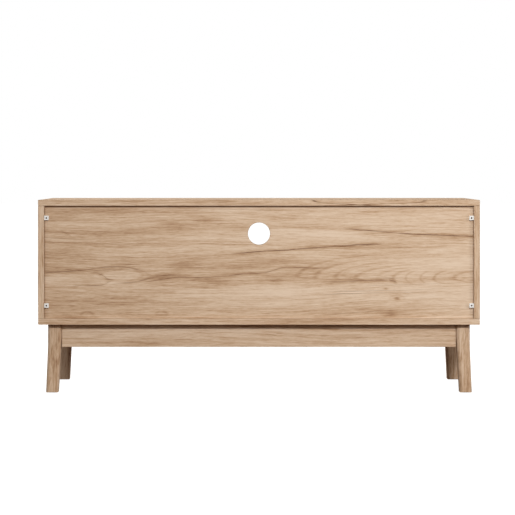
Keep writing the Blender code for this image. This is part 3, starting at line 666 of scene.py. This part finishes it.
def driven_head(radius, height, drive=0.52, depth=0.5):
    """A screw or cam head with a cross-shaped recess. drive is the cross's reach as a share of the radius."""
    bm = bmesh.new()
    segments = 24
    profile = [(radius, 0.0), (radius, 0.55 * height), (0.86 * radius, height)]
    rings = [ring_vertices(bm, ring_radius, ring_height, segments) for ring_radius, ring_height in profile]
    for lower, upper in zip(rings, rings[1:]):
        join_rings(bm, lower, upper)
    bm.faces.new(list(reversed(rings[0])))
    arm, half = drive * radius, 0.15 * radius
    quarter = [(arm, -half), (arm, half), (half, half)]
    outline = []
    for turn in range(4):
        for x, y in quarter:
            for _ in range(turn):
                x, y = -y, x
            outline.append((x, y))
    mouth = [bm.verts.new((x, y, height)) for x, y in outline]
    floor = [bm.verts.new((0.8 * x, 0.8 * y, height * (1 - depth))) for x, y in outline]
    join_rings(bm, mouth, floor)
    bm.faces.new(floor)
    loop = rings[-1]
    edges = [bm.edges.get((loop[k], loop[(k + 1) % len(loop)])) for k in range(len(loop))]
    edges += [bm.edges.get((mouth[k], mouth[(k + 1) % len(mouth)])) for k in range(len(mouth))]
    bmesh.ops.triangle_fill(bm, edges=edges, use_beauty=True)
    return bm


def place(name, bm, foot, direction, body, material, turn=0.0):
    """Stands a shape built along +Z on the point foot, facing direction, and joins it to a body."""
    direction = Vector(direction).normalized()
    upright = direction.to_track_quat("Z", "Y").to_matrix().to_4x4()
    bm.transform(Matrix.Translation(Vector(foot)) @ upright @ Matrix.Rotation(turn, 4, "Z"))
    bmesh.ops.recalc_face_normals(bm, faces=bm.faces)
    mesh = bpy.data.meshes.new(name)
    bm.to_mesh(mesh)
    bm.free()
    mesh.materials.append(material)
    piece = bpy.data.objects.new(name, mesh)
    bpy.context.scene.collection.objects.link(piece)
    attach(piece, body)
    return piece


def middle_of(node):
    low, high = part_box(node)
    return (low + high) / 2


SIDES = {"left": -1, "right": 1}
ENDS = {"front": -1, "back": 1}
HINGE_LEVELS = ("lower", "upper")
# Hinge screws, from the middle of the cup and of the plate.
CUP_SCREW_LIFT = 0.024
PLATE_SCREW_LIFT = 0.0165
ADJUST_SCREW_SHIFT = 0.0075
PLATE_MIDDLE = 0.0175         # in from the arm's rear end


def add_clip_screws():
    for side in SIDES:
        for level in HINGE_LEVELS:
            low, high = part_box(f"back_clip_{side}_{level}")
            centre = (low + high) / 2
            seat = (centre.x, low.y + 0.0038, centre.z)
            place(f"clip_screw_{side}_{level}", driven_head(0.0023, 0.0014, 0.6), seat, (0, 1, 0), "carcass",
                  BRONZE, 0.5)


def add_hinge_screws():
    for side, sign in SIDES.items():
        for level in HINGE_LEVELS:
            cup_low, cup_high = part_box(f"hinge_cup_{side}_{level}")
            cup = (cup_low + cup_high) / 2
            arm_low, arm_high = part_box(f"hinge_arm_{side}_{level}")
            arm = (arm_low + arm_high) / 2
            arm_face = min(abs(arm_low.x), abs(arm_high.x))
            plate_face = arm_face + 0.0008
            plate_y = arm_high.y - PLATE_MIDDLE
            inward = (-sign, 0, 0)
            for end, lift in (("a", -1), ("b", 1)):
                label = f"{side}_{level}_{end}"
                cup_seat = (cup.x, cup_high.y, cup.z + CUP_SCREW_LIFT * lift)
                place(f"cup_screw_{label}", driven_head(0.0035, 0.0011), cup_seat, (0, 1, 0), f"door_{side}",
                      NICKEL, 0.3 * lift)
                plate_seat = (sign * plate_face, plate_y, arm.z + PLATE_SCREW_LIFT * lift)
                place(f"plate_screw_{label}", driven_head(0.0036, 0.0016), plate_seat, inward, "carcass",
                      NICKEL, 0.4 * lift)
                adjust_seat = (sign * arm_face, plate_y + ADJUST_SCREW_SHIFT * lift, arm.z)
                place(f"adjust_screw_{label}", driven_head(0.0031, 0.0012), adjust_seat, inward, "carcass",
                      NICKEL, 0.7 * lift)


def add_knob_screws():
    owners = {"knob_door_left": "door_left", "knob_door_right": "door_right", "knob_drawer": "drawer"}
    boards = {"knob_door_left": "door_left", "knob_door_right": "door_right", "knob_drawer": "drawer_front"}
    for knob, body in owners.items():
        centre = middle_of(knob)
        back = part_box(boards[knob])[1].y
        washer = turned_shape([(0.0062, 0.0), (0.0062, 0.0006), (0.0058, 0.0008)], 28)
        place(f"{knob}_washer", washer, (centre.x, back, centre.z), (0, 1, 0), body, ZINC)
        place(f"{knob}_screw", driven_head(0.0042, 0.0024), (centre.x, back + 0.0008, centre.z), (0, 1, 0),
              body, ZINC, 0.35)


def add_bumpers():
    """Clear dots on the backs of the doors and the drawer front, where they meet the dividers."""
    for node, body in (("door_left", "door_left"), ("door_right", "door_right"), ("drawer_front", "drawer")):
        low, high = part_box(node)
        free_edges = [low.x, high.x] if node == "drawer_front" else [min((low.x, high.x), key=abs)]
        for edge_count, edge_x in enumerate(free_edges):
            inward = (low.x + high.x) / 2 - edge_x
            x = edge_x + math.copysign(0.0040, inward)
            for level, z in (("lower", low.z + 0.012), ("upper", high.z - 0.012)):
                dot = turned_shape([(0.0034, 0.0), (0.0034, 0.0010), (0.0027, 0.0019), (0.0012, 0.0023)], 20)
                place(f"bumper_{node}_{edge_count}_{level}", dot, (x, high.y, z), (0, 1, 0), body, RUBBER)


def add_cams():
    """Cam locks in the bays, where the upright boards join the top and bottom panels."""
    for name, face in (("side_panel", "inner"), ("divider", "outer")):
        for side, sign in SIDES.items():
            low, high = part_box(f"{name}_{side}")
            reach = sorted((abs(low.x), abs(high.x)))
            face_x = reach[0] if face == "inner" else reach[1]
            toward_bay = -sign if face == "inner" else sign
            for level, z in (("lower", low.z + 0.034), ("upper", high.z - 0.034)):
                for end, y in (("front", low.y + 0.095), ("back", high.y - 0.060)):
                    place(f"cam_{name}_{side}_{end}_{level}", driven_head(0.0075, 0.0004, 0.45, 0.8),
                          (sign * face_x, y, z), (toward_bay, 0, 0), "carcass", CAST, 0.6)


def add_base_bolts():
    """Hanger bolts and nuts that pull each leg against its corner block, with the block's two screws."""
    for end, y_sign in ENDS.items():
        for side, x_sign in SIDES.items():
            block = middle_of(f"corner_block_{end}_{side}")
            inward = Vector((-x_sign, -y_sign, 0)).normalized()
            beside = Vector((-inward.y, inward.x, 0))
            label = f"{end}_{side}"
            rod = turned_shape([(0.0030, -0.033), (0.0030, 0.0115), (0.0024, 0.0125)], 18)
            place(f"leg_bolt_{label}", rod, block, inward, "carcass", ZINC)
            washer = turned_shape([(0.0090, 0.0), (0.0090, 0.0010), (0.0085, 0.0014)], 28)
            place(f"leg_washer_{label}", washer, block, inward, "carcass", ZINC)
            nut = turned_shape([(0.0054, 0.0), (0.0058, 0.0006), (0.0058, 0.0044), (0.0054, 0.0050)], 6)
            place(f"leg_nut_{label}", nut, block + inward * 0.0014, inward, "carcass", ZINC, 0.2)
            for count, shift in enumerate((-0.024, 0.024)):
                place(f"block_screw_{label}_{count}", driven_head(0.0040, 0.0020), block + beside * shift,
                      inward, "carcass", ZINC, 0.4 + count)


def add_drawer_fixings():
    for side, sign in SIDES.items():
        low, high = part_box(f"drawer_side_{side}")
        centre_z = (low.z + high.z) / 2
        inner_x, outer_x = sorted((low.x, high.x), key=abs)
        for level, lift in (("lower", -1), ("upper", 1)):
            cam_seat = (inner_x, low.y + 0.026, centre_z + 0.006 + 0.024 * lift)
            place(f"drawer_cam_{side}_{level}", driven_head(0.0075, 0.0004, 0.45, 0.8), cam_seat,
                  (-sign, 0, 0), "drawer", CAST, 0.6 * lift)
            screw_seat = (outer_x, high.y - 0.006, centre_z + 0.032 * lift)
            place(f"drawer_screw_{side}_{level}", driven_head(0.0036, 0.0012), screw_seat, (sign, 0, 0),
                  "drawer", ZINC, 0.5 * lift)
        slide_low, slide_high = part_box(f"slide_inner_{side}")
        # The channel's web is 1.2 mm thick and lies against the drawer's side.
        web_x = outer_x + sign * 0.0015
        for count, share in enumerate((0.08, 0.5, 0.88)):
            y = slide_low.y + share * (slide_high.y - slide_low.y)
            place(f"slide_screw_{side}_{count}", driven_head(0.0034, 0.0013),
                  (web_x, y, (slide_low.z + slide_high.z) / 2), (sign, 0, 0), "drawer", ZINC, 0.3 + count)


def add_small_pieces():
    add_clip_screws()
    add_hinge_screws()
    add_knob_screws()
    add_bumpers()
    add_cams()
    add_base_bolts()
    add_drawer_fixings()


# --- Studio -----------------------------------------------------------------------------------------------
def add_floor():
    mesh = bpy.data.meshes.new("floor")
    reach = 30.0
    mesh.from_pydata([(-reach, -reach, 0), (reach, -reach, 0), (reach, reach, 0), (-reach, reach, 0)], [],
                     [(0, 1, 2, 3)])
    floor = bpy.data.objects.new("floor", mesh)
    bpy.context.scene.collection.objects.link(floor)
    material, t, shader = new_material("floor_white")
    shader.inputs["Base Color"].default_value = grey(0.30)
    shader.inputs["Roughness"].default_value = 0.9
    shader.inputs["Specular IOR Level"].default_value = 0.0
    shader.inputs["Emission Color"].default_value = grey(1.0)
    shader.inputs["Emission Strength"].default_value = 0.97
    mesh.materials.append(material)
    floor.location.z = -0.0005
    floor.visible_diffuse = False
    floor.visible_glossy = False


def add_world():
    world = bpy.data.worlds.new("studio")
    bpy.context.scene.world = world
    world.use_nodes = True
    t = Tree(world.node_tree)
    background = world.node_tree.nodes["Background"]
    coordinates = t.add("ShaderNodeTexCoord")
    split = t.add("ShaderNodeSeparateXYZ")
    t.put(coordinates.outputs["Generated"], split.inputs[0])
    rise = t.step(split.outputs[2], -0.02, 0.40)
    sky = t.mix(rise, (0.080, 0.044, 0.028, 1.0), (0.44, 0.425, 0.405, 1.0))
    seen = t.add("ShaderNodeLightPath").outputs["Is Camera Ray"]
    t.put(t.mix(seen, sky, grey(1.0)), background.inputs["Color"])


def add_light(name, place, target, size, power, colour):
    light = bpy.data.lights.new(name, "AREA")
    light.shape = "DISK"
    light.size = size
    light.energy = power
    light.color = colour
    obj = bpy.data.objects.new(name, light)
    bpy.context.scene.collection.objects.link(obj)
    obj.location = place
    obj.visible_glossy = False
    obj.rotation_euler = (Vector(target) - Vector(place)).to_track_quat("-Z", "Y").to_euler()


def add_camera():
    data = bpy.data.cameras.new("camera")
    data.lens = FOCAL_LENGTH
    data.sensor_width = 36.0
    data.clip_end = 100.0
    camera = bpy.data.objects.new("camera", data)
    bpy.context.scene.collection.objects.link(camera)
    rear_edge_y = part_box("top_panel")[1].y
    camera.location = (CAMERA_SIDE, rear_edge_y + CAMERA_DISTANCE, CAMERA_HEIGHT)
    camera.rotation_euler = (math.pi / 2, 0, math.pi)
    data.shift_x = CAMERA_SHIFT_SIDE
    data.shift_y = CAMERA_SHIFT
    bpy.context.scene.camera = camera


MIDDLE = (0.0, 0.0, 0.30)
WHITE_LIGHT = (1.0, 1.0, 1.0)
WARM_LIGHT = (1.0, 0.95, 0.90)
LIGHTS = [
    # (name, place, what it points at, diameter, watts, colour)
    ("key_back", (-0.65, 2.75, 1.32), MIDDLE, 0.30, 49, WHITE_LIGHT),
    ("side_back_right", (-3.3, 2.1, 0.80), MIDDLE, 0.9, 30, WARM_LIGHT),
    ("side_back_left", (3.3, 2.1, 0.80), MIDDLE, 0.9, 18, WARM_LIGHT),
    ("key_front", (0.9, -3.1, 2.0), MIDDLE, 0.9, 120, WHITE_LIGHT),
    ("side_front", (-2.8, -2.6, 0.9), MIDDLE, 1.2, 30, WHITE_LIGHT),
    ("overhead", (0.0, -0.6, 3.2), (0.0, 0.0, 0.5), 1.6, 8, WHITE_LIGHT),
]


def build_studio():
    add_floor()
    add_world()
    for light in LIGHTS:
        add_light(*light)
    add_camera()
    bpy.context.scene.view_settings.view_transform = "Standard"


dress_oak()
dress_fittings()
add_small_pieces()
build_studio()
